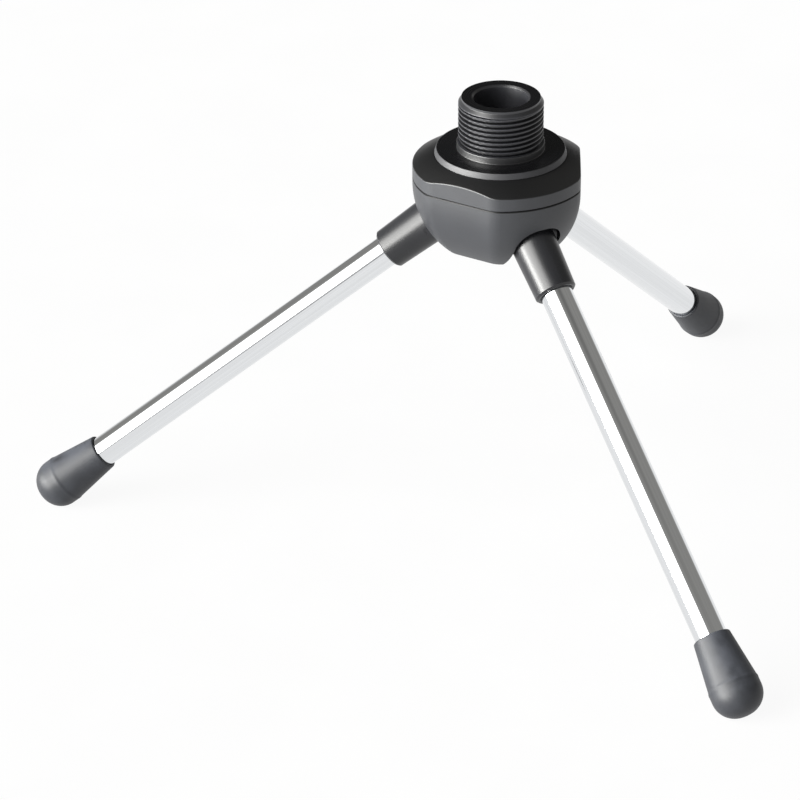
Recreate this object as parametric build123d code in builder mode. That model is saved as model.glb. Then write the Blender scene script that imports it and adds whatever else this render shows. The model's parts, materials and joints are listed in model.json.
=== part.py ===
from build123d import *
import os
from math import asin, atan2, cos, degrees, radians, sin, sqrt

# Desktop microphone stand: a domed hub with a 5/8"-27 stud on top and three legs that fold
# down on hinge pins. +Z is up. The origin is on the surface that the feet stand on, below
# the hub's axis. Leg 1 points along -Y, and the legs stand open, against their stops.
# All sizes are in millimetres.

# Hub outline: a circle with three flats, one midway between each two legs
leg_count = 3
first_leg_azimuth = -90.0
hub_radius = 16.45
flat_depth = 1.55
arris_radius = 5.0

# Hub body: a bowl whose sides drop straight, then curve in along an ellipse, which would
# run on a little below the flat bottom
body_depth = 13.5
body_straight_side = 1.1
body_ellipse_overrun = 3.7
body_bottom_fillet = 0.4
parting_chamfer = 0.15

# Hub cap: a side wall under a shallow crown
cap_side_height = 2.6
cap_crown_rise = 2.0

# Stud, turned in one piece with its flange, over a hexagonal boss and a threaded floor
flange_radius = 12.4
flange_taper = 0.4
flange_thickness = 1.2
thread_radius = 15.875 / 2
thread_pitch = 25.4 / 27
thread_depth = 0.58
thread_crest_width = 0.17
thread_root_width = 0.13
collar_overhang = 0.2625
collar_height = 1.3
stud_height = 10.2
stud_chamfer_height = 0.75
stud_bore_radius = 5.1
stud_bore_chamfer = 0.35
stud_floor_thickness = 1.9
boss_across_flats = 8.0
boss_end_gap = 0.4
boss_clearance = 0.05

# Clamp screw and spring washer, which pull the stud, cap and body together from below
screw_radius = 2.0
screw_tip_gap = 1.1
screw_tip_chamfer = 0.2
screw_head_radius = 3.8
screw_head_height = 2.2
screw_head_fillet = 0.8
screw_socket_across_flats = 2.5
screw_socket_depth = 1.3
screw_head_cover = 0.7
screw_hole_clearance = 0.25
screw_recess_clearance = 0.3
thread_clearance = 0.02
washer_clearance = 0.1
washer_thickness = 0.9
washer_split = 0.6

# Leg tube: the leg's length runs from the pin to the end of the foot
leg_length = 100.0
tube_radius = 3.0
tube_wall = 0.5
tube_start = 5.0
tube_fit = 0.02

# Leg sleeve: a knuckle and a tapered socket, measured along the leg from the pin
sleeve_length = 13.4
sleeve_root_wall = 1.35
sleeve_end_wall = 0.95
sleeve_end_chamfer = 0.35
sleeve_mouth_chamfer = 0.25
sleeve_cheek_length = 4.4
heel_height = 2.6

# Foot: a rubber cap that widens from its mouth, and ends in a dome with a small flat sole
foot_length = 15.5
foot_shoulder_length = 5.5
foot_end_thickness = 3.0
foot_mouth_wall = 0.5
foot_mouth_fillet = 0.3
foot_radius = 4.77
foot_crown_excess = 1.73
foot_corner_inset = 0.57
foot_fit = 0.01
sole_depth = 0.15

# Leg hinge: where the pin lies, and how far the leg slopes down when it is open
leg_slope = 38.4
pivot_inset = 5.95
pivot_below_parting = 7.3
pin_radius = 1.0
pin_seat_length = 1.5
pin_chamfer = 0.2
pin_running_clearance = 0.05
pin_seat_clearance = 0.01
pin_end_clearance = 0.05
knuckle_wall = 2.4

# Friction washers, one on each side of a knuckle
friction_washer_rim = 1.5
friction_washer_thickness = 0.5
side_clearance = 0.05

# Slot in the hub for one leg: a well that is open at the top and bottom, and an arched
# mouth through the side wall, which clear the leg's sleeve by these gaps
slot_side_gap = 0.35
slot_top_gap = 1.2
slot_inner_gap = 0.3
slot_arch_flat = 1.0
well_wall = 2.25
stop_clearance = 0.03

# Fingers under the cap, which hold the pins down in their grooves
finger_side_clearance = 0.06

# What follows from the hub's radius
flat_distance = hub_radius - flat_depth
pivot_distance = hub_radius - pivot_inset
well_outer_distance = hub_radius - well_wall
crown_run = hub_radius - flange_radius

# What follows from the tube and the pin
sleeve_root_radius = tube_radius + sleeve_root_wall
sleeve_end_radius = tube_radius + sleeve_end_wall
slot_half_width = sleeve_root_radius + slot_side_gap
slot_arch_height = sleeve_root_radius + slot_top_gap
slot_arch_radius = slot_half_width - slot_arch_flat / 2
slot_inner_distance = pivot_distance - sleeve_root_radius - slot_inner_gap
knuckle_half_width = slot_half_width - friction_washer_thickness - side_clearance
knuckle_radius = pin_radius + knuckle_wall
pin_half_length = slot_half_width + pin_seat_length
friction_washer_radius = pin_radius + friction_washer_rim

# What follows from the leg's length and the foot's radius
tube_end = leg_length - foot_end_thickness
foot_start = leg_length - foot_length
foot_widest = leg_length - foot_shoulder_length
foot_mouth_radius = tube_radius + foot_mouth_wall
foot_crown_radius = foot_radius + foot_crown_excess
foot_corner_radius = foot_radius - foot_corner_inset
crown_centre = leg_length - foot_crown_radius
corner_centre = crown_centre + sqrt(
    (foot_crown_radius - foot_corner_radius) ** 2 - foot_corner_inset**2
)

# Heights: the feet set the height of the pins, and the pins that of the hub
slope = radians(leg_slope)
pivot_height = (
    corner_centre * sin(slope)
    + foot_corner_inset * cos(slope)
    + foot_corner_radius
    - sole_depth
)
parting_height = pivot_height + pivot_below_parting
body_bottom = parting_height - body_depth
body_ellipse_depth = body_depth - body_straight_side + body_ellipse_overrun
cap_height = cap_side_height + cap_crown_rise
cap_top = parting_height + cap_height
flange_top = cap_top + flange_thickness
stud_top = flange_top + stud_height
bore_floor = cap_top + stud_floor_thickness

# Stud and screw
root_radius = thread_radius - thread_depth
collar_radius = thread_radius + collar_overhang
thread_bottom = flange_top + collar_height
thread_flank = (thread_pitch - thread_crest_width - thread_root_width) / 2
thread_reach = stud_top - stud_chamfer_height - thread_bottom
thread_crests = int((thread_reach - thread_flank) / thread_pitch)
boss_length = cap_height - boss_end_gap
head_top = body_bottom + screw_head_cover + screw_head_height
screw_seat = head_top + washer_thickness
screw_length = bore_floor - screw_tip_gap - head_top
washer_radius = screw_head_radius
washer_hole_radius = screw_radius + washer_clearance

hub_axis = Axis((0, 0, 0), (0, 0, 1))
far = 4 * hub_radius


def azimuth(number):
    """The direction of a leg, counted from 1, in degrees from +X."""
    return first_leg_azimuth + (number - 1) * 360 / leg_count


def outward(angle):
    """The level unit vector at an azimuth."""
    return Vector(cos(radians(angle)), sin(radians(angle)), 0)


def upright_plane(angle, distance=0.0, height=0.0):
    """An upright plane: its x points outward, its y up, and its normal along the hinge."""
    out = outward(angle)
    origin = out * distance + Vector(0, 0, height)
    return Plane(origin=origin, x_dir=out, z_dir=out.cross(Vector(0, 0, 1)))


def pin_plane(number):
    """The upright plane of a leg, with its origin on the pin's axis."""
    return upright_plane(azimuth(number), pivot_distance, pivot_height)


def leg_plane(number):
    """The pin's plane turned so that its x runs down the leg."""
    hinge = pin_plane(number)
    down_leg = outward(azimuth(number)) * cos(slope) - Vector(0, 0, sin(slope))
    return Plane(hinge.origin, x_dir=down_leg, z_dir=hinge.z_dir)


def leg_axis(number):
    plane = leg_plane(number)
    return Axis(plane.origin, plane.x_dir)


def across_leg(number, distance):
    """A plane square to the leg, at a distance down it from the pin, with its y upward."""
    plane = leg_plane(number)
    return Plane(
        plane.origin + plane.x_dir * distance, x_dir=-plane.z_dir, z_dir=plane.x_dir
    )


def save(part, label):
    part.label = label
    export_step(part, f"parts/{label}.step")


def bowl_section(plane, width, inner):
    """An upright section of the bowl, from `inner` to `width` at the parting plane."""
    arc_angle = degrees(asin((body_depth - body_straight_side) / body_ellipse_depth))
    centre = (0, parting_height - body_straight_side)
    with BuildSketch(plane) as section:
        with BuildLine():
            side = Line((width, parting_height), (width, centre[1]))
            curve = EllipticalCenterArc(centre, width, body_ellipse_depth, arc_size=-arc_angle)
            bottom = curve @ 1
            Polyline(bottom, (inner, bottom.Y), (inner, parting_height), side @ 0)
        make_face()
    return section.sketch


os.makedirs("parts", exist_ok=True)

# ---------------------------------------------------------------- hub body
with BuildPart() as hub_body:
    revolve(bowl_section(upright_plane(0), hub_radius, 0), axis=hub_axis)
    for number in range(1, leg_count + 1):
        stave = bowl_section(upright_plane(azimuth(number) + 180 / leg_count), flat_distance, -far)
        extrude(stave, amount=far, both=True, mode=Mode.INTERSECT)
    arrises = hub_body.edges().filter_by(
        lambda edge: body_straight_side < edge.bounding_box().size.Z < body_depth
    )
    upright_arrises = hub_body.edges().filter_by(Axis.Z)
    fillet(arrises + upright_arrises, radius=arris_radius)
    fillet(hub_body.faces().sort_by(Axis.Z)[0].edges(), radius=body_bottom_fillet)
    chamfer(hub_body.faces().sort_by(Axis.Z)[-1].edges(), length=parting_chamfer)
    # the wells, the arched mouths and the grooves that the pins drop into
    for number in range(1, leg_count + 1):
        with BuildSketch(Plane.XY.offset(body_bottom)):
            with Locations(Rotation(0, 0, azimuth(number))):
                with Locations((slot_inner_distance, 0)):
                    Rectangle(
                        well_outer_distance - slot_inner_distance,
                        2 * slot_half_width,
                        align=(Align.MIN, Align.CENTER),
                    )
        extrude(amount=body_depth, mode=Mode.SUBTRACT)
        with BuildSketch(across_leg(number, 0)) as arch:
            with Locations((0, slot_arch_height)):
                Rectangle(
                    2 * slot_half_width,
                    slot_arch_height + sleeve_root_radius,
                    align=(Align.CENTER, Align.MAX),
                )
            fillet(arch.vertices().group_by(Axis.Y)[-1], slot_arch_radius)
        extrude(amount=far / 2, mode=Mode.SUBTRACT)
        with BuildSketch(pin_plane(number)):
            Circle(pin_radius + pin_seat_clearance)
            Rectangle(
                2 * (pin_radius + pin_seat_clearance),
                pivot_below_parting,
                align=(Align.CENTER, Align.MIN),
            )
        extrude(amount=pin_half_length + pin_end_clearance, both=True, mode=Mode.SUBTRACT)
    with BuildSketch(Plane.XY.offset(body_bottom)):
        Circle(screw_radius + screw_hole_clearance)
    extrude(amount=body_depth, mode=Mode.SUBTRACT)
    with BuildSketch(Plane.XY.offset(body_bottom)):
        Circle(screw_head_radius + screw_recess_clearance)
    extrude(amount=screw_seat - body_bottom, mode=Mode.SUBTRACT)
save(hub_body.part, "hub_body")

# ---------------------------------------------------------------- hub cap
with BuildPart() as hub_cap:
    # a cone that runs on past the hub's side, cut back to the outline of the hub
    cone_reach = flange_radius + crown_run * cap_height / cap_crown_rise
    with BuildSketch(upright_plane(0)):
        Polygon(
            (0, parting_height),
            (cone_reach, parting_height),
            (flange_radius, cap_top),
            (0, cap_top),
            align=None,
        )
    revolve(axis=hub_axis)
    with BuildSketch(Plane.XY.offset(parting_height)) as outline:
        Circle(hub_radius)
        with PolarLocations(flat_distance, leg_count, azimuth(1) + 180 / leg_count):
            Rectangle(far, far, align=(Align.MIN, Align.CENTER), mode=Mode.SUBTRACT)
        fillet(outline.vertices(), arris_radius)
    extrude(amount=cap_height, mode=Mode.INTERSECT)
    chamfer(hub_cap.faces().sort_by(Axis.Z)[0].edges(), length=parting_chamfer)
    # the hexagonal hole that keeps the stud from turning
    with BuildSketch(Plane.XY.offset(parting_height)):
        RegularPolygon(boss_across_flats / 2 + boss_clearance, 6, major_radius=False)
    extrude(amount=cap_height, mode=Mode.SUBTRACT)
    # fingers that reach down the grooves and end on the pins
    for number in range(1, leg_count + 1):
        for side in (1, -1):
            with BuildSketch(Plane.XY.offset(pivot_height + pin_radius)):
                with Locations(Rotation(0, 0, azimuth(number))):
                    with Locations((pivot_distance, side * (slot_half_width + pin_half_length) / 2)):
                        Rectangle(
                            2 * (pin_radius - finger_side_clearance),
                            pin_half_length - slot_half_width - 2 * finger_side_clearance,
                        )
            extrude(amount=parting_height - pivot_height - pin_radius)
save(hub_cap.part, "hub_cap")

# ---------------------------------------------------------------- threaded stud
with BuildPart() as threaded_stud:
    with BuildSketch(upright_plane(0)):
        with BuildLine():
            base = Polyline(
                (0, cap_top),
                (flange_radius, cap_top),
                (flange_radius - flange_taper, flange_top),
                (collar_radius, flange_top),
                (collar_radius, thread_bottom - (collar_radius - root_radius) / 2),
                (root_radius, thread_bottom),
            )
            end = base @ 1
            for turn in range(thread_crests):
                foot = thread_bottom + thread_root_width + turn * thread_pitch
                crest = foot + thread_flank
                ridge = Polyline(
                    end,
                    (root_radius, foot),
                    (thread_radius, crest),
                    (thread_radius, crest + thread_crest_width),
                    (root_radius, foot + thread_pitch - thread_root_width),
                )
                end = ridge @ 1
            Polyline(
                end,
                (thread_radius, stud_top - stud_chamfer_height),
                (root_radius, stud_top),
                (0, stud_top),
                base @ 0,
            )
        make_face()
    revolve(axis=hub_axis)
    with BuildSketch(Plane.XY.offset(cap_top)):
        RegularPolygon(boss_across_flats / 2, 6, major_radius=False)
    extrude(amount=-boss_length)
    with BuildSketch(Plane.XY.offset(stud_top)):
        Circle(stud_bore_radius)
    extrude(amount=bore_floor - stud_top, mode=Mode.SUBTRACT)
    mouth_edge = threaded_stud.edges().filter_by(GeomType.CIRCLE).group_by(Axis.Z)[-1]
    chamfer(mouth_edge.sort_by(SortBy.RADIUS)[0], length=stud_bore_chamfer)
    with BuildSketch(Plane.XY.offset(cap_top - boss_length)):
        Circle(screw_radius + thread_clearance)
    extrude(amount=boss_length + stud_floor_thickness, mode=Mode.SUBTRACT)
save(threaded_stud.part, "threaded_stud")

# ---------------------------------------------------------------- clamp screw and its washer
with BuildPart() as clamp_screw:
    with BuildSketch(Plane.XY.offset(head_top)):
        Circle(screw_head_radius)
    extrude(amount=-screw_head_height)
    fillet(clamp_screw.edges().group_by(Axis.Z)[0], radius=screw_head_fillet)
    with BuildSketch(Plane.XY.offset(head_top)):
        Circle(screw_radius)
    extrude(amount=screw_length)
    chamfer(clamp_screw.edges().group_by(Axis.Z)[-1], length=screw_tip_chamfer)
    with BuildSketch(Plane.XY.offset(head_top - screw_head_height)):
        RegularPolygon(screw_socket_across_flats / 2, 6, major_radius=False)
    extrude(amount=screw_socket_depth, mode=Mode.SUBTRACT)
save(clamp_screw.part, "clamp_screw")

with BuildPart() as spring_washer:
    with BuildSketch(Plane.XY.offset(head_top)):
        Circle(washer_radius)
        Circle(washer_hole_radius, mode=Mode.SUBTRACT)
        with Locations((0, (washer_radius + washer_hole_radius) / 2)):
            Rectangle(washer_split, 2 * washer_radius - 2 * washer_hole_radius, mode=Mode.SUBTRACT)
    extrude(amount=washer_thickness)
save(spring_washer.part, "spring_washer")

# ---------------------------------------------------------------- the three legs
for number in range(1, leg_count + 1):
    hinge = pin_plane(number)
    along = leg_plane(number)
    axis = leg_axis(number)

    with BuildPart() as pivot_pin:
        with BuildSketch(hinge):
            Circle(pin_radius)
        extrude(amount=pin_half_length, both=True)
        chamfer(pivot_pin.edges().filter_by(GeomType.CIRCLE), length=pin_chamfer)
    save(pivot_pin.part, f"pivot_pin_{number}")

    with BuildPart() as friction_washers:
        for side in (1, -1):
            with BuildSketch(hinge.offset(side * slot_half_width)):
                Circle(friction_washer_radius)
                Circle(pin_radius + pin_running_clearance, mode=Mode.SUBTRACT)
            extrude(amount=-side * friction_washer_thickness)
    save(friction_washers.part, f"friction_washers_{number}")

    with BuildPart() as leg_sleeve:
        # the tapered socket, flattened on both cheeks beside the pin
        with BuildSketch(along):
            with BuildLine():
                Polyline(
                    (0, 0),
                    (0, sleeve_root_radius),
                    (sleeve_length - sleeve_end_chamfer, sleeve_end_radius),
                    (sleeve_length, sleeve_end_radius - sleeve_end_chamfer),
                    (sleeve_length, 0),
                    close=True,
                )
            make_face()
        revolve(axis=axis)
        for side in (1, -1):
            with BuildSketch(along.offset(side * knuckle_half_width)):
                Rectangle(2 * sleeve_cheek_length, far, align=(Align.CENTER, Align.CENTER))
            extrude(amount=side * far, mode=Mode.SUBTRACT)
        # the round knuckle, and the heel that meets the hub's core when the leg is open
        with BuildSketch(hinge):
            Circle(knuckle_radius)
            heel_reach = pivot_distance - slot_inner_distance - stop_clearance
            Rectangle(heel_reach, heel_height, align=(Align.MAX, Align.MIN))
        extrude(amount=knuckle_half_width, both=True)
        with BuildSketch(hinge):
            Circle(pin_radius + pin_running_clearance)
        extrude(amount=far, both=True, mode=Mode.SUBTRACT)
        with BuildSketch(across_leg(number, tube_start)):
            Circle(tube_radius + tube_fit)
        extrude(amount=far, mode=Mode.SUBTRACT)
        mouth_edges = leg_sleeve.edges().filter_by(GeomType.CIRCLE).sort_by(axis)
        chamfer(mouth_edges[-2:].sort_by(SortBy.RADIUS)[0], length=sleeve_mouth_chamfer)
    save(leg_sleeve.part, f"leg_sleeve_{number}")

    with BuildPart() as leg_tube:
        with BuildSketch(across_leg(number, tube_start)):
            Circle(tube_radius)
            Circle(tube_radius - tube_wall, mode=Mode.SUBTRACT)
        extrude(amount=tube_end - tube_start)
    save(leg_tube.part, f"leg_tube_{number}")

    with BuildPart() as foot:
        with BuildSketch(along):
            with BuildLine():
                mouth = Line((foot_start, 0), (foot_start, foot_mouth_radius))
                flare = Line(mouth @ 1, (foot_widest, foot_radius))
                waist = Line(flare @ 1, (corner_centre, foot_radius))
                turn = degrees(atan2(foot_corner_inset, corner_centre - crown_centre))
                corner = CenterArc(
                    (corner_centre, foot_corner_inset), foot_corner_radius, 90, turn - 90
                )
                crown = CenterArc((crown_centre, 0), foot_crown_radius, turn, -turn)
                Line(crown @ 1, mouth @ 0)
            make_face()
        revolve(axis=axis)
        lip = foot.edges().filter_by(GeomType.CIRCLE).sort_by(axis)[0]
        fillet(lip, radius=foot_mouth_fillet)
        with BuildSketch(across_leg(number, foot_start)):
            Circle(tube_radius + foot_fit)
        extrude(amount=tube_end - foot_start, mode=Mode.SUBTRACT)
        split(bisect_by=Plane.XY, keep=Keep.TOP)
    save(foot.part, f"foot_{number}")
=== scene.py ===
import json
from math import atan2, cos, pi, radians, sin, sqrt, tan

import bpy
import numpy as np
from bpy.props import FloatProperty, FloatVectorProperty, IntProperty, PointerProperty
from mathutils import Matrix, Vector


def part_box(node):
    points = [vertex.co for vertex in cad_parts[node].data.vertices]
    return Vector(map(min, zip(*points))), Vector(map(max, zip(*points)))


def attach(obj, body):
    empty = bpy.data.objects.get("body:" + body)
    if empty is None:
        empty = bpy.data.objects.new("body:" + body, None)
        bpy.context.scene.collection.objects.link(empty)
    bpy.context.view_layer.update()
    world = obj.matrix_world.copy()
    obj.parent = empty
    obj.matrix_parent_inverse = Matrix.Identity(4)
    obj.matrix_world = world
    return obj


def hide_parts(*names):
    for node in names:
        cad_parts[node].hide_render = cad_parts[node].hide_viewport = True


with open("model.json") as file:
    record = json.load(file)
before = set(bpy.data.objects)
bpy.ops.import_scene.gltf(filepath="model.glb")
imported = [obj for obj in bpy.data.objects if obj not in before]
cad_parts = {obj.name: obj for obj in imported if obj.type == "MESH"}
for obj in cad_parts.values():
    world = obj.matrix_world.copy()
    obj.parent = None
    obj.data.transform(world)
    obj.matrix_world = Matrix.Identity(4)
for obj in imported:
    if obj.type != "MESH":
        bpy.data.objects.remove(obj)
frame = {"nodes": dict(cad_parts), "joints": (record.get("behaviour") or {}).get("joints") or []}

# Looks of a desktop microphone stand: a domed black hub with a threaded stud, and three
# chromed legs with rubber feet. Lengths are in metres, in the frame of the solids.

bl_info = {
    "name": "Desktop Microphone Stand",
    "version": (1, 0, 0),
    "blender": (4, 5, 0),
    "location": "View3D > Sidebar > Mic Stand",
    "description": "Builds a microphone stand's stud, cap and feet, and finishes every piece",
    "category": "Object",
}

MM = 0.001
FINGER_NEAR, FINGER_FAR = 4.76 * MM, 6.14 * MM  # from the middle of a slot, along its pin
FINGER_HALF_WIDTH = 0.94 * MM
FINGER_ROOT = 0.2 * MM  # how far a finger reaches up into the cap
HOLE_CLEARANCE = 0.1 * MM  # the cap's hole over the boss, across flats
SOCKET_CLEARANCE = 0.02 * MM  # a foot's socket over its tube
CREST_EDGE, FLANK = 0.43, 0.34  # shares of the pitch: half a ridge's foot, and its flank
RUN_IN = 0.6  # share of the pitch over which the thread rises to its full depth
UNDERSIDE_START = 0.9 * MM  # from the boss's flats, past its corners, on the flange's underside
COLLAR_SLOPE = 0.30 * MM  # rise of the collar's sloped top, in to the thread's root
SKIRT_ROUNDINGS = 0.10 * MM, 0.22 * MM, 0.14 * MM, 0.20 * MM
MOUTH_ROUNDINGS = 0.05 * MM, 0.08 * MM, 0.25 * MM
LIP_ROUNDINGS = 0.12 * MM, 0.26 * MM
RING_SHIFT = 0.4 * MM  # a foot's moulded ring, from the widest place toward the mouth
GROOVE_BREAK = 0.03 * MM  # chamfer over the seam's groove
# Rings that keep the shading flat beside an edge, and how far from it they lie.
HOLD_OVER_GROOVE, HOLD_UNDER_RIM, HOLD_UNDER_FLANGE = 0.09 * MM, 0.05 * MM, 0.5 * MM
RIM_RINGS, CROWN_RINGS = 9, 14
FLARE_RINGS, WAIST_RINGS, CORNER_RINGS, TIP_RINGS = 40, 6, 26, 12
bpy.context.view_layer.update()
LEGS = tuple(range(1, 1 + len(frame["joints"])))


def height_of(node, end):
    """The lowest (end 0) or highest (end 1) height of a solid."""
    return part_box(node)[end].z


PARTING = height_of("hub_body", 1)
CAP_TOP = height_of("hub_cap", 1)
STUD_TOP = height_of("threaded_stud", 1)
BOSS_BOTTOM = height_of("threaded_stud", 0)
HUB_RADIUS = -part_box("hub_body")[0].y


# ------------------------------------------------------------------ sizes and colours


def length(name, description, default):
    """A length in metres."""
    return FloatProperty(
        name=name, description=description, default=default,
        unit="LENGTH", subtype="DISTANCE", precision=5,
    )


def colour(name, description, default):
    """A colour as linear red, green and blue."""
    return FloatVectorProperty(
        name=name, description=description, default=default, subtype="COLOR", size=3, min=0, max=1
    )


class StandSizes(bpy.types.PropertyGroup):
    """Sizes of the pieces that are modelled here."""

    flat_depth: length("Flat depth", "How far each flat is cut into the hub's outline", 1.55 * MM)
    arris_radius: length(
        "Arris radius", "Rounding between a flat and the round of the hub", 5.0 * MM
    )
    cap_side: length("Cap side", "Height of the cap's side wall at full radius", 2.6 * MM)
    crown_bulge: length(
        "Crown bulge", "How far the cap's crown swells above a straight cone", 0.12 * MM
    )
    rim_radius: length("Rim radius", "Rounding of the cap's upper rim", 0.28 * MM)
    seam_height: length("Seam height", "Height of the groove over the parting plane", 0.22 * MM)
    seam_depth: length("Seam depth", "Depth of that groove into the cap", 0.45 * MM)
    flange_radius: length(
        "Flange radius", "Radius of the stud's flange where it meets the cap", 12.4 * MM
    )
    flange_taper: length("Flange taper", "How much narrower the flange is at its top", 0.4 * MM)
    flange_thickness: length("Flange thickness", "Height of the flange", 1.2 * MM)
    collar_radius: length("Collar radius", "Radius of the plain collar under the thread", 8.2 * MM)
    collar_height: length("Collar height", "Height of the plain collar", 1.3 * MM)
    thread_radius: length("Thread radius", "Radius over the thread's crests", 15.875 / 2 * MM)
    thread_pitch: length("Thread pitch", "Distance from one crest to the next", 25.4 / 27 * MM)
    thread_depth: length("Thread depth", "Depth of the thread", 0.58 * MM)
    top_chamfer: length("Top chamfer", "From the stud's top to where its chamfer ends", 1.05 * MM)
    top_lead: length("Top lead", "Height of the plain band above that chamfer", 0.45 * MM)
    bore_radius: length("Bore radius", "Radius of the stud's bore", 5.1 * MM)
    bore_chamfer: length("Bore chamfer", "Chamfer at the mouth of the bore", 0.35 * MM)
    floor_thickness: length("Bore floor", "Thickness under the bore, above the cap", 1.9 * MM)
    boss_flats: length("Boss flats", "Width of the hexagonal boss across its flats", 8.0 * MM)
    screw_hole: length("Screw hole", "Radius of the threaded hole in the boss", 2.02 * MM)
    # 0.01 mm short of the solids' leg, so that a foot's facets stay inside their box.
    leg_length: length("Leg length", "From the hinge pin to the end of the foot", 99.99 * MM)
    tube_radius: length("Tube radius", "Outer radius of a leg tube", 3.0 * MM)
    foot_length: length("Foot length", "Length of a rubber foot", 15.5 * MM)
    foot_shoulder: length("Foot shoulder", "From the widest place of a foot to its end", 5.5 * MM)
    foot_socket_end: length("Foot end wall", "Rubber beyond the end of the tube", 3.0 * MM)
    foot_mouth_wall: length("Foot mouth wall", "Wall of the foot at its mouth", 0.5 * MM)
    foot_radius: length("Foot radius", "Radius of a foot at its widest place", 4.77 * MM)
    foot_crown_excess: length(
        "Foot crown excess", "How much flatter than the foot its end is", 1.73 * MM
    )
    foot_corner_inset: length("Foot corner inset", "Inset of the corner's centre", 0.57 * MM)
    foot_ring_height: length(
        "Foot ring height", "Height of the moulded ring round a foot", 0.07 * MM
    )
    foot_ring_width: length("Foot ring width", "Half width of the moulded ring", 0.28 * MM)
    turns: IntProperty(
        name="Columns", description="Columns of a turned surface", default=240, min=24, max=384
    )
    thread_rings: IntProperty(
        name="Thread rings", description="Rings of the thread", default=340, min=100, max=600
    )


class StandColours(bpy.types.PropertyGroup):
    """Colours of the finishes."""

    paint: colour("Paint", "Satin black paint of the hub", (0.0225, 0.0242, 0.0285))
    blackened: colour("Blackened steel", "Black oxide of the stud", (0.0150, 0.0155, 0.0185))
    lacquer: colour("Black lacquer", "Glossy black of the leg sleeves", (0.009, 0.0093, 0.0108))
    chrome: colour("Chrome", "Plating of the leg tubes", (0.775, 0.79, 0.805))
    rubber: colour("Rubber", "Slate-grey rubber of the feet", (0.019, 0.0205, 0.0245))
    zinc: colour("Zinc", "Plated steel of the screw and the pins", (0.52, 0.54, 0.57))
    nylon: colour("Nylon", "Friction washers", (0.035, 0.035, 0.037))
    floor: colour("Floor", "The pale floor", (0.98, 0.98, 0.98))
    dome: colour("Studio", "The grey of the studio above", (0.285, 0.28, 0.268))


# ------------------------------------------------------------------ surfaces


def grid_faces(rows, columns, closed_rows):
    """Quads of a grid whose columns go round and meet, and whose rows meet too if closed_rows.

    Quad (i, j) joins points (i, j), (i, j+1), (i+1, j+1) and (i+1, j), counted round."""
    i = np.arange(rows if closed_rows else rows - 1)[:, None]
    j = np.arange(columns)[None, :]
    after_i, after_j = (i + 1) % rows, (j + 1) % columns
    corners = (
        i * columns + j,
        i * columns + after_j,
        after_i * columns + after_j,
        after_i * columns + j,
    )
    return np.stack(corners, -1).reshape(-1, 4)


def fan_faces(row, columns, pole, flip):
    """Triangles from one row of a grid to a single pole point."""
    j = np.arange(columns)
    ring = row * columns + j, row * columns + (j + 1) % columns
    if flip:
        ring = ring[::-1]
    return np.stack((ring[0], ring[1], np.full(columns, pole)), -1)


def rounded_line(corners, radii, steps=7):
    """A line through corners (radius, height), each rounded by an arc of its radius.

    Each arc touches both its runs at radius / tan(half the corner's angle) from the corner,
    and its points are centre + radius * (cos a, sin a)."""
    corners = [np.array(c, float) for c in corners]
    line = [corners[0]]
    for before, corner, after, radius in zip(corners, corners[1:], corners[2:], radii):
        u = (before - corner) / np.linalg.norm(before - corner)
        v = (after - corner) / np.linalg.norm(after - corner)
        half = np.arccos(np.clip(u @ v, -1, 1)) / 2
        centre = corner + (u + v) / np.linalg.norm(u + v) * radius / sin(half)
        first = corner + u * radius / tan(half) - centre
        last = corner + v * radius / tan(half) - centre
        share = np.linspace(0, 1, steps)[:, None]
        chord = first * (1 - share) + last * share
        arc = chord / np.linalg.norm(chord, axis=1)[:, None] * radius
        line.extend(centre + arc)
    line.append(corners[-1])
    return np.array(line)


def make_piece(name, points, faces, body, nodes, sharp=35.0):
    """A closed mesh of the points and faces, which rides on a body and stands for nodes."""
    mesh = bpy.data.meshes.new(name)
    mesh.from_pydata(points.tolist(), [], [f for block in faces for f in block.tolist()])
    mesh.validate()
    mesh.polygons.foreach_set("use_smooth", np.ones(len(mesh.polygons), bool))
    mesh.set_sharp_from_angle(angle=radians(sharp))
    mesh.update()
    piece = bpy.data.objects.new(name, mesh)
    bpy.context.scene.collection.objects.link(piece)
    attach(piece, body)
    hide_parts(*nodes)
    return piece


def hub_outline(angles, sizes):
    """The hub's radius at each angle, seen from above.

    With f the angle from the nearest flat's normal: on the flat it is distance / cos f; on
    the rounding it is c + sqrt(c**2 - |centre|**2 + radius**2), where c is the rounding's
    centre along the ray; and on the round it is the hub's radius."""
    sector = 2 * pi / len(LEGS)
    f = np.abs((angles - pi / 2 + sector / 2) % sector - sector / 2)
    distance = HUB_RADIUS - sizes.flat_depth
    centre_x = distance - sizes.arris_radius
    centre_y = sqrt((HUB_RADIUS - sizes.arris_radius) ** 2 - centre_x**2)
    along = centre_x * np.cos(f) + centre_y * np.sin(f)
    root = along**2 - centre_x**2 - centre_y**2 + sizes.arris_radius**2
    rounding = along + np.sqrt(np.maximum(root, 0))
    on_flat = f < atan2(centre_y, distance)
    on_round = f > atan2(centre_y, centre_x)
    return np.where(on_flat, distance / np.cos(f), np.where(on_round, HUB_RADIUS, rounding))


def hexagon(angles, flats):
    """The radius of a hexagon at each angle: half its width over the cosine of the angle
    from the nearest flat's normal."""
    f = (angles % (pi / 3)) - pi / 6
    return flats / 2 / np.cos(f)


def polar_points(radius, height, angles):
    """Points (radius cos a, radius sin a, height) of a grid, as one list."""
    grid = np.stack((radius * np.cos(angles), radius * np.sin(angles), height), -1)
    return grid.reshape(-1, 3)


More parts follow.
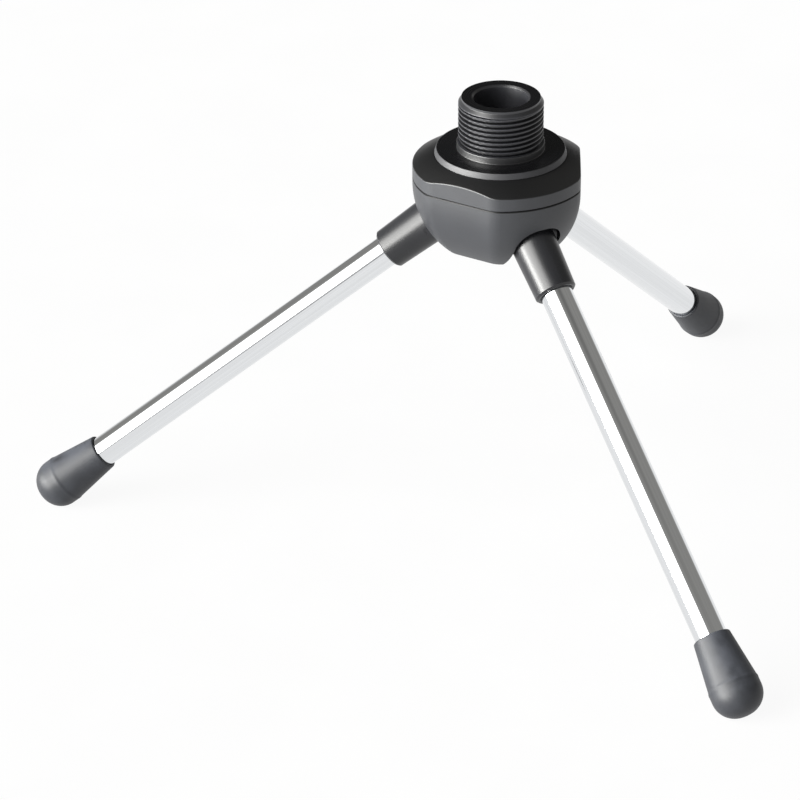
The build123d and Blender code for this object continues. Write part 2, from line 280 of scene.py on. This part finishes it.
def box_block(low, high, turn):
    """The eight corners of a box turned by an angle about the hub's axis, and its quads."""
    pick = np.array([[i & 1, i >> 1 & 1, i >> 2 & 1] for i in range(8)])
    corners = np.where(pick == 1, high, low)
    c, s = cos(turn), sin(turn)
    spin = np.array([[c, s, 0], [-s, c, 0], [0, 0, 1]])
    quads = np.array(
        [[0, 2, 3, 1], [4, 5, 7, 6], [0, 1, 5, 4], [2, 6, 7, 3], [0, 4, 6, 2], [1, 3, 7, 5]]
    )
    return corners @ spin, quads


def stud_surface(sizes):
    """The stud as rings of points about the hub's axis, from the hole in its boss round its
    outside and back down its bore.

    Radius is a profile of height. On the boss it is a hexagon's. On the thread it is
    root + depth * ridge(height / pitch - angle / turn), where ridge is 1 on a crest and 0 in
    a root. Near the top a cone caps it, which narrows to the root, and a plain band of the
    root's radius follows."""
    angles = np.linspace(0, 2 * pi, sizes.turns, endpoint=False)[None, :]
    flange_top = CAP_TOP + sizes.flange_thickness
    thread_bottom = flange_top + sizes.collar_height
    root = sizes.thread_radius - sizes.thread_depth
    bore_floor = CAP_TOP + sizes.floor_thickness

    hole = np.array([(sizes.screw_hole, bore_floor), (sizes.screw_hole, BOSS_BOTTOM)])
    skirt = rounded_line(
        [
            (sizes.boss_flats / 2 + UNDERSIDE_START, CAP_TOP),
            (sizes.flange_radius, CAP_TOP),
            (sizes.flange_radius - sizes.flange_taper, flange_top),
            (sizes.collar_radius, flange_top),
            (sizes.collar_radius, thread_bottom),
            (root, thread_bottom + COLLAR_SLOPE),
        ],
        SKIRT_ROUNDINGS,
    )
    mouth = rounded_line(
        [
            (root, STUD_TOP),
            (sizes.bore_radius + sizes.bore_chamfer, STUD_TOP),
            (sizes.bore_radius, STUD_TOP - sizes.bore_chamfer),
            (sizes.bore_radius, bore_floor),
            (sizes.screw_hole, bore_floor),
        ],
        MOUTH_ROUNDINGS,
        steps=5,
    )

    thread_z = np.linspace(skirt[-1, 1], STUD_TOP, sizes.thread_rings)[1:-1, None]
    x = (thread_z / sizes.thread_pitch - angles / (2 * pi)) % 1 - 0.5
    slope = np.clip((CREST_EDGE - np.abs(x)) / FLANK, 0, 1)
    ridge = 0.55 * slope + 0.45 * slope**2 * (3 - 2 * slope)  # part straight, part rounded
    run_in = np.clip((thread_z - skirt[-1, 1]) / (RUN_IN * sizes.thread_pitch), 0, 1)
    run_in = run_in**2 * (3 - 2 * run_in)
    thread_r = root + sizes.thread_depth * ridge * run_in
    fall = (thread_z - (STUD_TOP - sizes.top_chamfer)) / (sizes.top_chamfer - sizes.top_lead)
    cone = sizes.thread_radius - sizes.thread_depth * np.clip(fall, 0, 1)
    thread_r = np.minimum(thread_r, cone)
    filled = np.clip(fall * 4 + 1.6, 0, 1)  # the grooves fill up just under the cone
    thread_r = thread_r * (1 - filled) + cone * filled

    def ring(block):
        """A profile's points, each repeated round the axis."""
        return np.repeat(block[:, :1], sizes.turns, 1), np.repeat(block[:, 1:], sizes.turns, 1)

    boss_r = np.repeat(hexagon(angles, sizes.boss_flats), 2, 0)
    boss_z = np.repeat(np.array([[BOSS_BOTTOM], [CAP_TOP]]), sizes.turns, 1)
    thread_z = np.repeat(thread_z, sizes.turns, 1)
    rows_r, rows_z = [], []
    for r, z in (ring(hole), (boss_r, boss_z), ring(skirt), (thread_r, thread_z), ring(mouth[:-1])):
        rows_r.append(r)
        rows_z.append(z)
    radius, height = np.concatenate(rows_r), np.concatenate(rows_z)
    points = polar_points(radius, height, angles)
    return points, [grid_faces(len(radius), sizes.turns, True)]


def cap_surface(sizes):
    """The cap as rings of points about the hub's axis, from the edge of its hexagonal hole
    over the crown, down the side and back under, with six fingers below.

    The outline is the hub's. The crown falls from the flange to the rim as
    top - slope * (r - flange) + 4 * bulge * t * (1 - t), t from 0 to 1 outward. The rim is
    an arc of the rim radius between the crown and the upright side. A square groove, as high
    and deep as the seam's sizes, runs round under the side."""
    angles = np.linspace(0, 2 * pi, 2 * sizes.turns, endpoint=False)[None, :]
    outline = hub_outline(angles, sizes)
    rise = CAP_TOP - PARTING - sizes.cap_side
    reach = HUB_RADIUS - sizes.flange_radius
    hole = hexagon(angles, sizes.boss_flats + HOLE_CLEARANCE)
    q = sizes.rim_radius

    def crown_height(r):
        t = (r - sizes.flange_radius) / reach
        return CAP_TOP - rise * t + 4 * sizes.crown_bulge * t * (1 - t)

    t_rim = (outline - sizes.flange_radius) / reach
    fall = (rise - 4 * sizes.crown_bulge * (1 - 2 * t_rim)) / reach
    lean = pi / 2 - np.arctan(fall)
    reach_in = q / np.tan((pi - lean) / 2)
    corner = crown_height(outline)
    arc = np.linspace(0, 1, RIM_RINGS)[:, None] * lean
    rim_r = outline - q + q * np.cos(arc)
    rim_z = corner - reach_in + q * np.sin(arc)
    share = np.linspace(0, 1, CROWN_RINGS)[:-1, None]
    crown_r = rim_r[-1:] * (1 - share) + sizes.flange_radius * share
    crown_z = crown_height(crown_r)
    level = np.ones_like(outline)
    rows = [
        (outline - sizes.seam_depth, PARTING * level),
        (outline - sizes.seam_depth, (PARTING + sizes.seam_height) * level),
        (outline - GROOVE_BREAK, (PARTING + sizes.seam_height) * level),
        (outline, (PARTING + sizes.seam_height + GROOVE_BREAK) * level),
        (outline, (PARTING + sizes.seam_height + HOLD_OVER_GROOVE) * level),
        (outline, rim_z[:1] - HOLD_UNDER_RIM),
        (rim_r, rim_z),
        (crown_r[1:], crown_z[1:]),
        (sizes.flange_radius * level, CAP_TOP * level),
        ((sizes.flange_radius - HOLD_UNDER_FLANGE) * level, CAP_TOP * level),
        (hole, CAP_TOP * level),
        (hole, PARTING * level),
    ]
    radius = np.concatenate([r for r, z in rows])
    height = np.concatenate([z for r, z in rows])
    points = [polar_points(radius, height, angles)]
    faces = [grid_faces(len(radius), angles.size, True)]
    for leg in LEGS:
        pin_low, pin_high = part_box(f"pivot_pin_{leg}")
        place = Vector(joint_of(leg)["pos_m"])
        turn = atan2(place.y, place.x)
        pin_radius = (pin_high.z - pin_low.z) / 2
        reach_out = place.xy.length
        for side in (1, -1):
            edges = sorted((side * FINGER_NEAR, side * FINGER_FAR))
            low = np.array([reach_out - FINGER_HALF_WIDTH, edges[0], place.z + pin_radius])
            high = np.array([reach_out + FINGER_HALF_WIDTH, edges[1], PARTING + FINGER_ROOT])
            corners, quads = box_block(low, high, turn)
            faces.append(quads + sum(len(p) for p in points))
            points.append(corners)
    return np.concatenate(points), faces


def foot_surface(sizes, leg):
    """A foot as rings of points about its leg, from the end of its socket out of the mouth
    and over the outside to the tip.

    The outside runs straight from the mouth to the widest place, on along the leg, round a
    corner arc and over a flatter crown arc. A moulded ring adds
    height * exp(-(distance / width)**4). What would reach under the floor is laid flat."""
    start = sizes.leg_length - sizes.foot_length
    widest = sizes.leg_length - sizes.foot_shoulder
    crown_radius = sizes.foot_radius + sizes.foot_crown_excess
    corner_radius = sizes.foot_radius - sizes.foot_corner_inset
    crown_centre = sizes.leg_length - crown_radius
    inset = sizes.foot_corner_inset
    corner_centre = crown_centre + sqrt((crown_radius - corner_radius) ** 2 - inset**2)
    turn = atan2(sizes.foot_corner_inset, corner_centre - crown_centre)
    mouth_radius = sizes.tube_radius + sizes.foot_mouth_wall
    socket_radius = sizes.tube_radius + SOCKET_CLEARANCE
    socket_end = sizes.leg_length - sizes.foot_socket_end

    lip = rounded_line(
        [
            (socket_radius, socket_end),
            (socket_radius, start),
            (mouth_radius, start),
            (sizes.foot_radius, widest),
        ],
        LIP_ROUNDINGS,
        steps=6,
    )
    flare = np.linspace(lip[-2], lip[-1], FLARE_RINGS)[1:]
    waist = np.linspace(lip[-1], (sizes.foot_radius, corner_centre), WAIST_RINGS)[1:]
    a = np.linspace(pi / 2, turn, CORNER_RINGS)[1:]
    corner = np.stack((
        sizes.foot_corner_inset + corner_radius * np.sin(a),
        corner_centre + corner_radius * np.cos(a),
    ), -1)
    a = np.linspace(turn, 0, TIP_RINGS)[1:-1]
    crown = np.stack((crown_radius * np.sin(a), crown_centre + crown_radius * np.cos(a)), -1)
    line = np.concatenate((lip[:-1], flare, waist, corner, crown))
    outside = np.arange(len(line)) >= len(lip) - 1
    ring_place = widest - RING_SHIFT
    swell = np.exp(-(((line[:, 1] - ring_place) / sizes.foot_ring_width) ** 4))
    line[:, 0] += np.where(outside, sizes.foot_ring_height * swell, 0)

    angles = np.linspace(0, 2 * pi, sizes.turns // 2, endpoint=False)
    pin, down, across, up = leg_axes(leg)
    radial = np.cos(angles)[:, None] * up + np.sin(angles)[:, None] * across
    points = pin + line[:, 1, None, None] * down + line[:, 0, None, None] * radial
    points = points.reshape(-1, 3)
    poles = np.stack((pin + socket_end * down, pin + sizes.leg_length * down))
    points = np.concatenate((points, poles))
    points[:, 2] = np.maximum(points[:, 2], 0)
    count, rows = len(angles), len(line)
    faces = [
        grid_faces(rows, count, False)[:, ::-1],
        fan_faces(0, count, rows * count, False),
        fan_faces(rows - 1, count, rows * count + 1, True),
    ]
    return points, faces


def joint_of(leg):
    """The hinge that a leg turns on."""
    return next(j for j in frame["joints"] if j["child"] == f"leg_{leg}")


def leg_axes(leg):
    """The pin's place, and the directions down the leg, across it along the pin, and up.

    Down runs from the pin to the height of the middle of the tube's box, and as far out."""
    pin = np.array(joint_of(leg)["pos_m"], float)
    low, high = (np.array(v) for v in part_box(f"leg_tube_{leg}"))
    middle = (low + high) / 2
    out = np.array([pin[0], pin[1], 0]) / np.hypot(pin[0], pin[1])
    run = (middle - pin) @ out
    drop = pin[2] - middle[2]
    down = out * run - np.array([0, 0, drop])
    down /= np.linalg.norm(down)
    across = np.cross([0, 0, 1], out)
    up = np.cross(down, across)
    if up[2] < 0:
        across, up = -across, -up
    return pin, down, across, up


# ------------------------------------------------------------------ shader maths


class Wire:
    """A number that leaves a shader socket. Python's operators on it add Math nodes."""

    def __init__(self, tree, socket):
        self.tree, self.socket = tree, socket

    def math(self, operation, *others, swap=False):
        """One Math node on this number and others, in the other order if swap."""
        values = [self, *others]
        if swap:
            values.reverse()
        return self.tree.wire("ShaderNodeMath", {"operation": operation}, dict(enumerate(values)))

    def __add__(self, other):
        return self.math("ADD", other)

    def __sub__(self, other):
        return self.math("SUBTRACT", other)

    def __rsub__(self, other):
        return self.math("SUBTRACT", other, swap=True)

    def __mul__(self, other):
        return self.math("MULTIPLY", other)

    def __pow__(self, other):
        return self.math("POWER", other)

    def __abs__(self):
        return self.math("ABSOLUTE")

    __radd__ = __add__
    __rmul__ = __mul__

    def step(self, low, high):
        """0 below low, 1 above high and smooth between."""
        settings = {"interpolation_type": "SMOOTHSTEP"}
        return self.tree.wire("ShaderNodeMapRange", settings, {0: self, 1: low, 2: high})


class ShaderTree:
    """The nodes of one material or world."""

    def __init__(self, owner):
        owner.use_nodes = True
        self.nodes, self.links = owner.node_tree.nodes, owner.node_tree.links
        self.nodes.clear()

    def node(self, kind, settings=None, inputs=None):
        """A node of a type, with its settings and then the values or links of its sockets."""
        made = self.nodes.new(kind)
        for key, value in (settings or {}).items():
            setattr(made, key, value)
        for key, value in (inputs or {}).items():
            if isinstance(value, Wire):
                value = value.socket
            if isinstance(value, bpy.types.NodeSocket):
                self.links.new(value, made.inputs[key])
            else:
                made.inputs[key].default_value = value
        return made

    def wire(self, kind, settings=None, inputs=None, output=0):
        return Wire(self, self.node(kind, settings, inputs).outputs[output])

    def mix(self, share, first, second):
        """A colour between two colours."""
        inputs = {0: share, 6: rgba(first), 7: rgba(second)}
        return self.node("ShaderNodeMix", {"data_type": "RGBA"}, inputs).outputs[2]

    def object_place(self):
        return self.node("ShaderNodeTexCoord").outputs["Object"]

    def along(self, place, direction, origin=(0, 0, 0)):
        """How far a place lies from an origin along a direction."""
        ends = {0: place, 1: tuple(origin)}
        moved = self.node("ShaderNodeVectorMath", {"operation": "SUBTRACT"}, ends)
        inputs = {0: moved.outputs[0], 1: tuple(direction)}
        return self.wire("ShaderNodeVectorMath", {"operation": "DOT_PRODUCT"}, inputs, "Value")

    def vector(self, x, y, z):
        return self.node("ShaderNodeCombineXYZ", None, {0: x, 1: y, 2: z}).outputs[0]

    def noise(self, place, scale, detail=2.0, roughness=0.5):
        inputs = {"Vector": place, "Scale": scale, "Detail": detail, "Roughness": roughness}
        return self.wire("ShaderNodeTexNoise", None, inputs)

    def bump(self, height, distance, strength=1.0):
        inputs = {"Height": height, "Distance": distance, "Strength": strength}
        return self.node("ShaderNodeBump", None, inputs).outputs[0]

    def surface(self, **sockets):
        shader = self.node("ShaderNodeBsdfPrincipled", None, sockets)
        self.node("ShaderNodeOutputMaterial", None, {0: shader.outputs[0]})


def rgba(value):
    if isinstance(value, bpy.types.NodeSocket):
        return value
    return (*value, 1.0)


def shade(value, factor):
    """A colour made lighter or darker."""
    return tuple(min(1.0, c * factor) for c in value)


# ------------------------------------------------------------------ finishes

# Pairs of radii between which a mark on the stud rises from none to all of itself.
CREST_WEAR = 7.72 * MM, 7.96 * MM
CREST_END = 8.0 * MM, 8.1 * MM
# COLLAR_EDGE starts the painted shade on the stud's collar
COLLAR_EDGE = 8.10 * MM, 8.16 * MM
DISC_EDGE = 11.2 * MM, 11.8 * MM


def satin_paint(name, base):
    """Satin black paint over a casting: a fine orange peel, dust-fine speckle and slow changes of
    gloss. Upright faces are rougher and carry a painted sheen, a lighter slate tone with some
    random bloom; faces that look up are painted near black, as painted shade."""
    material = bpy.data.materials.new(name)
    tree = ShaderTree(material)
    place = tree.object_place()
    peel = tree.noise(place, 3200, 2)
    speckle = tree.noise(place, 9000, 1)
    cloud = tree.noise(place, 110, 3)
    facing = tree.node("ShaderNodeTexCoord").outputs["Normal"]
    upright = 1 - tree.along(facing, (0, 0, 1)).step(0.25, 0.6)
    # Painted sheen and painted shade: upright faces get the lighter paint colour, varied by random
    # bloom, and faces that look up get the near-black colour
    bloom_and_painted_sheen = upright * (0.75 + (cloud - 0.5) * 0.5 + (speckle - 0.5) * 0.5)
    tree.surface(**{
        "Base Color": tree.mix(bloom_and_painted_sheen, shade(base, 0.06), base),
        "Roughness": 0.40 + upright * 0.08 + (cloud - 0.5) * 0.05 + (speckle - 0.5) * 0.06,
        "IOR": 1.56,
        "Normal": tree.bump(peel + speckle * 0.5, 0.000006, 0.6),
    })
    return material


def turned_black(name, base):
    """Blackened steel from the lathe: fine rings round the axis on upright faces and on level
    faces alike. Upright faces are rougher, most of all round the flange, and carry a painted
    sheen: they are lighter than the level faces, which are painted in shade. The collar's
    upright face is painted in shade too, and the crests are rubbed lighter."""
    material = bpy.data.materials.new(name)
    tree = ShaderTree(material)
    place = tree.object_place()
    x = tree.along(place, (1, 0, 0))
    y = tree.along(place, (0, 1, 0))
    z = tree.along(place, (0, 0, 1))
    radius = (x * x + y * y) ** 0.5
    rings = tree.noise(tree.vector(radius * 9000, z * 9000, 0), 1.0, 2)
    blotch = tree.noise(place, 260, 3)
    worn = radius.step(*CREST_WEAR) * (1 - radius.step(*CREST_END))
    facing = tree.node("ShaderNodeTexCoord").outputs["Normal"]
    upright = 1 - abs(tree.along(facing, (0, 0, 1))).step(0.55, 0.9)
    disc = radius.step(*DISC_EDGE)
    # The plain collar under the thread, whose upright face is painted in shade
    collar = radius.step(*COLLAR_EDGE) * (1 - disc)
    # Painted sheen and painted shade: upright faces get the lighter colour and level faces the
    # darker one, and the collar keeps the darker one
    painted_sheen_and_shade = upright * (0.8 + (blotch - 0.5) * 0.6) * (1 - collar * 0.85)
    skin = tree.mix(painted_sheen_and_shade, shade(base, 0.15), base)
    turned = (rings - 0.5) * 0.08 + (blotch - 0.5) * 0.05
    tree.surface(**{
        "Base Color": tree.mix(worn * 0.5, skin, shade(base, 1.7)),
        "Roughness": 0.27 + upright * 0.12 + disc * upright * 0.16 + turned,
        "IOR": 1.6,
        "Normal": tree.bump(rings, 0.0000012, 0.5),
    })
    return material


def leg_place(tree, leg):
    """The place on a leg: across, up and down it from the pin, as three numbers."""
    pin, down, across, up = leg_axes(leg)
    place = tree.object_place()
    return [tree.along(place, axis, pin) for axis in (across, up, down)]


def black_lacquer(name, base, leg):
    """Glossy black of a sleeve: faint draw lines along it and slow ripples of gloss."""
    material = bpy.data.materials.new(name)
    tree = ShaderTree(material)
    across, up, down = leg_place(tree, leg)
    lines = tree.noise(tree.vector(across * 2400, up * 2400, down * 40), 1.0, 3)
    ripple = tree.noise(tree.vector(across * 300, up * 300, down * 90), 1.0, 2)
    tree.surface(**{
        "Base Color": tree.mix(ripple.step(0.3, 0.7), shade(base, 0.85), shade(base, 1.2)),
        "Roughness": 0.33 + (lines - 0.5) * 0.06 + (ripple - 0.5) * 0.05,
        "IOR": 1.46,
        "Normal": tree.bump(lines * 0.3 + ripple, 0.0000025, 0.4),
    })
    return material


def drawn_chrome(name, base, leg):
    """Chrome over drawn tube: fine lines that run along the leg show in the reflections."""
    material = bpy.data.materials.new(name)
    tree = ShaderTree(material)
    across, up, down = leg_place(tree, leg)
    lines = tree.noise(tree.vector(across * 4200, up * 4200, down * 14), 1.0, 3)
    broad = tree.noise(tree.vector(across * 900, up * 900, down * 9), 1.0, 2)
    haze = tree.noise(tree.vector(across * 500, up * 500, down * 260), 1.0, 3)
    tree.surface(**{
        "Base Color": tree.mix(lines.step(0.35, 0.7), shade(base, 0.93), base),
        "Metallic": 1.0,
        "Roughness": 0.075 + (haze - 0.4) * 0.05 + lines.step(0.55, 0.8) * 0.05,
        "Normal": tree.bump(lines * 0.5 + broad, 0.0000035, 0.6),
    })
    return material


def moulded_rubber(name, base, leg):
    """Slate-grey rubber: a matt skin with a fine stipple, a bloom of lighter dust, and
    rubbed paler at the sole."""
    material = bpy.data.materials.new(name)
    tree = ShaderTree(material)
    across, up, down = leg_place(tree, leg)
    place = tree.object_place()
    stipple = tree.noise(place, 4200, 2)
    bloom_and_painted_sheen = tree.noise(place, 300, 4)
    streaks = tree.noise(tree.vector(across * 1500, up * 1500, down * 120), 1.0, 3)
    height = tree.along(place, (0, 0, 1))
    rubbed = 1 - height.step(0.0, 1.2 * MM)
    facing = tree.node("ShaderNodeTexCoord").outputs["Normal"]
    dust = tree.along(facing, (0, 0, 1)).step(0.55, 0.95) * bloom_and_painted_sheen.step(0.2, 0.6)
    skin = tree.mix(bloom_and_painted_sheen.step(0.3, 0.75), shade(base, 0.85), shade(base, 1.2))
    skin = tree.mix(dust, skin, shade(base, 2.4))
    tree.surface(**{
        "Base Color": tree.mix(rubbed * 0.5, skin, shade(base, 1.7)),
        "Roughness": 0.50 + (bloom_and_painted_sheen - 0.5) * 0.12 + (streaks - 0.5) * 0.10 + rubbed * 0.2,
        "IOR": 1.40,
        "Normal": tree.bump(stipple + streaks * 0.4, 0.0000035, 0.6),
    })
    return material


def plated_steel(name, base):
    """Bright zinc on steel: soft spangles and a slight haze."""
    material = bpy.data.materials.new(name)
    tree = ShaderTree(material)
    place = tree.object_place()
    spangle = tree.wire("ShaderNodeTexVoronoi", None, {"Vector": place, "Scale": 1800})
    haze = tree.noise(place, 900, 3)
    tree.surface(**{
        "Base Color": tree.mix(spangle.step(0.1, 0.7), base, shade(base, 0.8)),
        "Metallic": 1.0,
        "Roughness": 0.28 + (haze - 0.5) * 0.15,
        "Normal": tree.bump(haze, 0.000004, 0.5),
    })
    return material


def washer_nylon(name, base):
    """Dark nylon with a faint mottle."""
    material = bpy.data.materials.new(name)
    tree = ShaderTree(material)
    place = tree.object_place()
    mottle = tree.noise(place, 1500, 3)
    tree.surface(**{
        "Base Color": tree.mix(mottle.step(0.3, 0.7), shade(base, 0.85), shade(base, 1.25)),
        "Roughness": 0.5 + (mottle - 0.5) * 0.15,
        "Normal": tree.bump(mottle, 0.000005, 0.5),
    })
    return material


def clad(obj, material):
    """Give a piece one material in place of those it has."""
    obj.data.materials.clear()
    obj.data.materials.append(material)


# ------------------------------------------------------------------ stage

CAMERA_AZIMUTH = radians(-28.414)
CAMERA_ELEVATION = radians(28.317)
CAMERA_ROLL = radians(-0.279)
CAMERA_PLACE = (-0.32926, -0.56878, 0.37761)
CAMERA_LENS_MM = 174.44
FLOOR_DROP = 0.02 * MM  # keeps the floor clear of the soles
FLOOR_RADIUS = 6.0
FLOOR_SIDES = 96
WINDOW_RADIANCE = 13.0
STRIP_RADIANCE = 40.0


def turned_direction(azimuth, elevation):
    """The direction at an azimuth right of the camera's side and an elevation, in radians."""
    a = CAMERA_AZIMUTH + azimuth
    return Vector((sin(a) * cos(elevation), -cos(a) * cos(elevation), sin(elevation)))


def place_camera():
    """A long lens at the camera's place, which looks along its azimuth and elevation and is
    turned about that line by its roll."""
    back = turned_direction(0, CAMERA_ELEVATION)
    right = Vector((0, 0, 1)).cross(back).normalized()
    up = back.cross(right)
    c, s = cos(CAMERA_ROLL), sin(CAMERA_ROLL)
    rolled = Matrix((c * right + s * up, -s * right + c * up, back)).transposed()
    data = bpy.data.cameras.new("camera")
    data.lens, data.sensor_width = CAMERA_LENS_MM, 36.0
    data.clip_start, data.clip_end = 0.05, 30.0
    camera = bpy.data.objects.new("camera", data)
    camera.matrix_world = Matrix.Translation(CAMERA_PLACE) @ rolled.to_4x4()
    bpy.context.scene.collection.objects.link(camera)
    bpy.context.scene.camera = camera


def lay_floor(base):
    """A wide round floor, white and lit from within, so that shadows on it stay faint."""
    angles = np.linspace(0, 2 * pi, FLOOR_SIDES, endpoint=False)
    height = np.full(FLOOR_SIDES, -FLOOR_DROP)
    points = polar_points(FLOOR_RADIUS, height, angles)
    mesh = bpy.data.meshes.new("floor")
    mesh.from_pydata(points.tolist(), [], [list(range(FLOOR_SIDES))])
    material = bpy.data.materials.new("floor_paper")
    tree = ShaderTree(material)
    fibres = tree.noise(tree.object_place(), 40, 3)
    tree.surface(**{
        "Base Color": tree.mix(fibres.step(0.3, 0.7), shade(base, 0.035), shade(base, 0.04)),
        "Roughness": 0.9,
        "Specular IOR Level": 0.0,
        "Emission Color": rgba(base),
        "Emission Strength": 0.95,
    })
    mesh.materials.append(material)
    floor = bpy.data.objects.new("floor", mesh)
    bpy.context.scene.collection.objects.link(floor)


def light_studio(dome):
    """The studio as a function of direction: white up to the horizon, a thin dark line at
    the floor's far edge, and a grey room above that is lighter in front, white low down at
    the back and the right, and dark high up and right behind. At the left stands a tall
    soft window with a bright strip light along its sill. The window is
    WINDOW_RADIANCE * share**2, where share rises smoothly from its edges to its middle."""
    world = bpy.data.worlds.new("studio")
    bpy.context.scene.world = world
    tree = ShaderTree(world)
    way = tree.node("ShaderNodeTexCoord").outputs["Generated"]
    ahead = tree.along(way, turned_direction(0, 0))
    right = tree.along(way, turned_direction(pi / 2, 0))
    height = tree.along(way, (0, 0, 1))
    azimuth = right.math("ARCTAN2", ahead) * (180 / pi)
    elevation = height.math("ARCSINE") * (180 / pi)
    side = 1 - abs(azimuth + 30).step(60, 105)
    wall = 1 - elevation.step(2, 15)
    front = (1 - abs(azimuth).step(30, 75)) * (1 - elevation.step(35, 62))
    line = (1 - abs(elevation - 0.5).step(1.0, 3.0)) * side
    across = azimuth.step(-106, -70) * (1 - azimuth.step(-46, -22))
    share = across * elevation.step(-2, 12) * (1 - elevation.step(44, 68))
    strip = azimuth.step(-110, -94) * (1 - azimuth.step(-50, -34))
    strip = strip * elevation.step(-2, 2) * (1 - elevation.step(8, 17))
    back = abs(azimuth).step(138, 162) * elevation.step(-1, 3)
    room = tree.mix(front * 0.45, dome, (0.62, 0.62, 0.63))
    room = tree.mix(wall * (1 - side), room, (0.95, 0.95, 0.95))
    room = tree.mix(back.math("MAXIMUM", elevation.step(62, 80)), room, (0.05, 0.05, 0.05))
    room = tree.mix(line * 0.85, room, (0.30, 0.30, 0.31))
    room = tree.mix(1 - elevation.step(-1.6, -0.8), room, (1, 1, 1))
    walls = tree.node("ShaderNodeBackground", None, {"Color": room, "Strength": 1.0})
    glow = share * share * WINDOW_RADIANCE + strip * STRIP_RADIANCE
    light = {"Color": (1, 0.995, 0.97, 1), "Strength": glow}
    window = tree.node("ShaderNodeBackground", None, light)
    both = tree.node("ShaderNodeAddShader", None, {0: walls.outputs[0], 1: window.outputs[0]})
    tree.node("ShaderNodeOutputWorld", None, {0: both.outputs[0]})


# ------------------------------------------------------------------ operators


class StandOperator:
    bl_options = {"REGISTER", "UNDO"}

    @staticmethod
    def settings(context):
        return context.scene.stand_sizes, context.scene.stand_colours


class MICSTAND_OT_stud(StandOperator, bpy.types.Operator):
    """Build the threaded stud with its flange, bore and boss"""

    bl_idname = "micstand.build_stud"
    bl_label = "Build Stud"

    def execute(self, context):
        sizes, colours = self.settings(context)
        points, faces = stud_surface(sizes)
        piece = make_piece("stud", points, faces, "hub", ["threaded_stud"])
        clad(piece, turned_black("blackened_steel", colours.blackened))
        return {"FINISHED"}


class MICSTAND_OT_cap(StandOperator, bpy.types.Operator):
    """Build the hub's cap with its crown, flats and fingers"""

    bl_idname = "micstand.build_cap"
    bl_label = "Build Cap"

    def execute(self, context):
        sizes, colours = self.settings(context)
        points, faces = cap_surface(sizes)
        piece = make_piece("cap", points, faces, "hub", ["hub_cap"])
        clad(piece, satin_paint("cap_paint", colours.paint))
        return {"FINISHED"}


class MICSTAND_OT_feet(StandOperator, bpy.types.Operator):
    """Build the rubber feet"""

    bl_idname = "micstand.build_feet"
    bl_label = "Build Feet"

    def execute(self, context):
        sizes, colours = self.settings(context)
        for leg in LEGS:
            points, faces = foot_surface(sizes, leg)
            piece = make_piece(
                f"rubber_foot_{leg}", points, faces, f"leg_{leg}", [f"foot_{leg}"]
            )
            clad(piece, moulded_rubber(f"foot_rubber_{leg}", colours.rubber, leg))
        return {"FINISHED"}


class MICSTAND_OT_hub_finish(StandOperator, bpy.types.Operator):
    """Paint the hub's body and plate its screw, washer and pins"""

    bl_idname = "micstand.finish_hub"
    bl_label = "Finish Hub"

    def execute(self, context):
        colours = self.settings(context)[1]
        nodes = frame["nodes"]
        clad(nodes["hub_body"], satin_paint("body_paint", colours.paint))
        steel = plated_steel("zinc_plate", colours.zinc)
        nylon = washer_nylon("washer_nylon", colours.nylon)
        for name in ["clamp_screw", "spring_washer"] + [f"pivot_pin_{leg}" for leg in LEGS]:
            clad(nodes[name], steel)
        for leg in LEGS:
            clad(nodes[f"friction_washers_{leg}"], nylon)
        return {"FINISHED"}


class MICSTAND_OT_leg_finish(StandOperator, bpy.types.Operator):
    """Chrome the leg tubes and lacquer their sleeves"""

    bl_idname = "micstand.finish_legs"
    bl_label = "Finish Legs"

    def execute(self, context):
        colours = self.settings(context)[1]
        for leg in LEGS:
            tube, sleeve = (frame["nodes"][f"leg_{part}_{leg}"] for part in ("tube", "sleeve"))
            clad(tube, drawn_chrome(f"chrome_{leg}", colours.chrome, leg))
            clad(sleeve, black_lacquer(f"sleeve_lacquer_{leg}", colours.lacquer, leg))
        return {"FINISHED"}


class MICSTAND_OT_stage(StandOperator, bpy.types.Operator):
    """Lay the floor, light the studio and place the camera"""

    bl_idname = "micstand.set_stage"
    bl_label = "Set Stage"

    def execute(self, context):
        colours = self.settings(context)[1]
        lay_floor(colours.floor)
        light_studio(colours.dome)
        place_camera()
        context.scene.view_settings.view_transform = "Standard"
        return {"FINISHED"}


class MICSTAND_PT_panel(bpy.types.Panel):
    """The stand's pieces in the sidebar"""

    bl_label = "Microphone Stand"
    bl_idname = "MICSTAND_PT_panel"
    bl_space_type = "VIEW_3D"
    bl_region_type = "UI"
    bl_category = "Mic Stand"

    def draw(self, context):
        for operator in OPERATORS:
            self.layout.operator(operator.bl_idname)
        for settings in (context.scene.stand_sizes, context.scene.stand_colours):
            for name in settings.__annotations__:
                self.layout.prop(settings, name)


OPERATORS = (
    MICSTAND_OT_stud,
    MICSTAND_OT_cap,
    MICSTAND_OT_feet,
    MICSTAND_OT_hub_finish,
    MICSTAND_OT_leg_finish,
    MICSTAND_OT_stage,
)
CLASSES = (StandSizes, StandColours, *OPERATORS, MICSTAND_PT_panel)


def register():
    for kind in CLASSES:
        bpy.utils.register_class(kind)
    bpy.types.Scene.stand_sizes = PointerProperty(type=StandSizes)
    bpy.types.Scene.stand_colours = PointerProperty(type=StandColours)


def unregister():
    del bpy.types.Scene.stand_sizes
    del bpy.types.Scene.stand_colours
    for kind in reversed(CLASSES):
        bpy.utils.unregister_class(kind)


def main():
    register()
    bpy.ops.micstand.build_stud()
    bpy.ops.micstand.build_cap()
    bpy.ops.micstand.build_feet()
    bpy.ops.micstand.finish_hub()
    bpy.ops.micstand.finish_legs()
    bpy.ops.micstand.set_stage()


if __name__ == "__main__":
    main()
